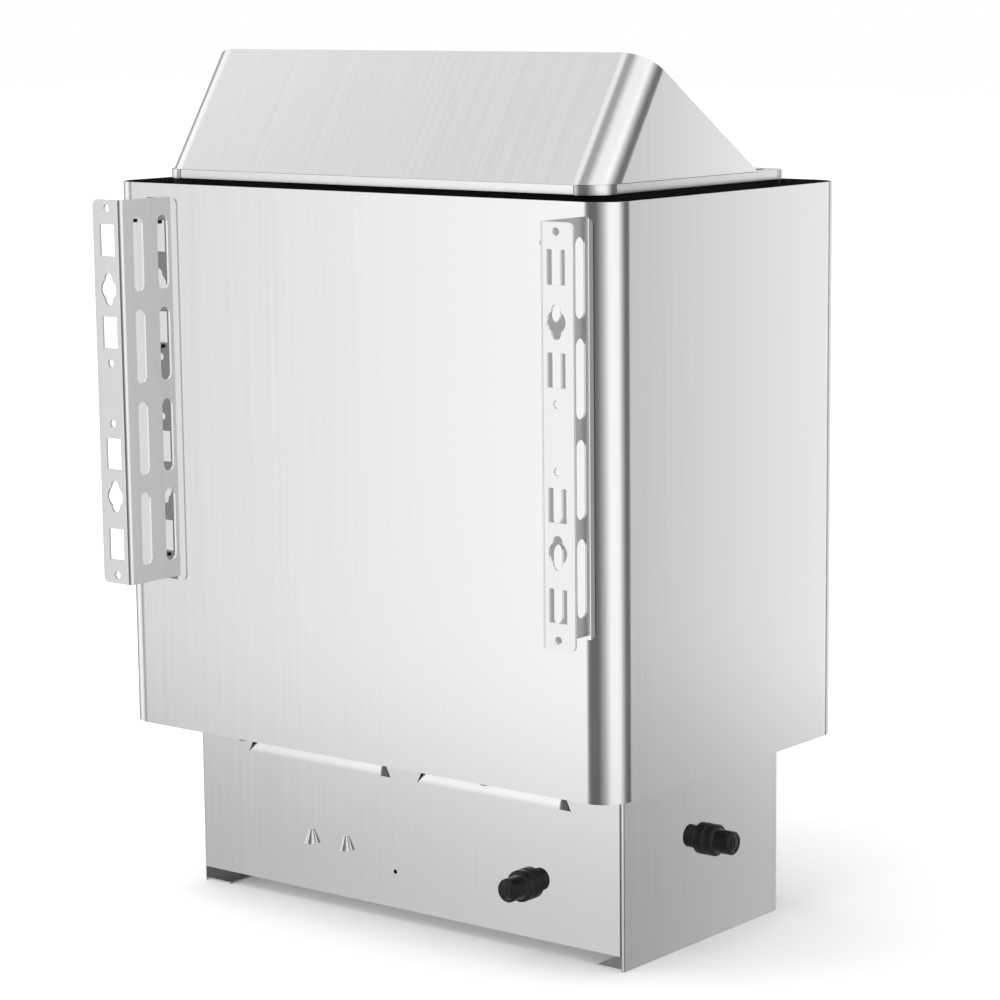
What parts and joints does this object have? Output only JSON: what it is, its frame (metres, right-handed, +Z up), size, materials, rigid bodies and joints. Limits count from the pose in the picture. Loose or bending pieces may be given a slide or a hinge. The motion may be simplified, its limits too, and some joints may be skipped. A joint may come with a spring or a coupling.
{
  "type": "sauna_heater",
  "caption": "Wall-hung electric sauna heater with a brushed steel casing, a hooded stone compartment, perforated wall rails and a base with cable glands.",
  "frame": {"origin": "under the middle of the casing, level with the undersides of the base's side flanges", "axes": "+Z up, the controls face -Y, the wall is on the +Y side, +X is to the right seen from the front"},
  "size_m": [0.419, 0.3, 0.5672],
  "materials": {
    "brass": "plain brass",
    "brushed_shell": "brushed stainless sheet with a fine upright grain",
    "button_plastic": "red plastic",
    "copper": "bare copper",
    "cream_plastic": "heat-proof cream plastic",
    "element_sheath": "heat-tinted tubular element sheath",
    "gland_nylon": "black nylon",
    "inner_steel": "stainless sheet darkened by heat",
    "knob_plastic": "heat-proof black plastic",
    "lead_silicone": "red-brown silicone insulation",
    "plain_steel": "dull pickled stainless sheet",
    "rod_steel": "drawn stainless rod",
    "screw_steel": "zinc-plated screw",
    "seal_rubber": "black rubber"
  },
  "bodies": {
    "heater": {"outer_casing": "brushed_shell", "carrier_plate": "plain_steel", "base_shell": "brushed_shell", "base_front_cover": "brushed_shell", "wiring_cover": "plain_steel", "stone_jacket": "inner_steel", "element_tray": "plain_steel", "heat_shield": "plain_steel", "spacer_brackets": "plain_steel", "grate_rails": "rod_steel", "stone_grate": "rod_steel", "rim_rails": "brushed_shell", "rim_corners": "brushed_shell", "hood": "brushed_shell", "front_element": "element_sheath", "middle_element": "element_sheath", "rear_element": "element_sheath", "element_bushes": "brass", "element_combs": "rod_steel", "element_terminals": "brass", "star_link": "brass", "terminal_block": "cream_plastic", "terminal_screws": "brass", "earth_stud": "brass", "power_leads": "lead_silicone", "timer_body": "cream_plastic", "thermostat_body": "cream_plastic", "sensor_tube": "copper", "sensor_bulb": "copper", "limiter_body": "cream_plastic", "rear_gland_body": "gland_nylon", "rear_gland_seal": "seal_rubber", "rear_gland_locknut": "gland_nylon", "rear_gland_nut": "gland_nylon", "rear_gland_plug": "gland_nylon", "side_gland_body": "gland_nylon", "side_gland_seal": "seal_rubber", "side_gland_locknut": "gland_nylon", "side_gland_nut": "gland_nylon", "side_gland_plug": "gland_nylon", "left_wall_rail": "brushed_shell", "right_wall_rail": "brushed_shell", "left_foot_plate": "brushed_shell", "right_foot_plate": "brushed_shell", "foot_plate_screws": "screw_steel", "back_screws": "screw_steel", "cover_screws": "screw_steel", "casing_screws": "screw_steel"},
    "timer_control": {"timer_knob": "knob_plastic", "timer_shaft": "plain_steel"},
    "thermostat_control": {"thermostat_knob": "knob_plastic", "thermostat_shaft": "plain_steel"},
    "reset": {"reset_button": "button_plastic"}
  },
  "joints": [
    {"name": "timer_turn", "type": "hinge", "parent": "heater", "child": "timer_control", "pos_m": [-0.062, -0.0907, 0.064], "axis": [0, 1, 0], "range_deg": [0, 330]},
    {"name": "thermostat_turn", "type": "hinge", "parent": "heater", "child": "thermostat_control", "pos_m": [0.062, -0.0907, 0.064], "axis": [0, 1, 0], "range_deg": [0, 270]},
    {"name": "reset_press", "type": "slide", "parent": "heater", "child": "reset", "axis": [0, 1, 0], "range_m": [0, 0.003], "stiffness_N_per_m": 600}
  ]
}
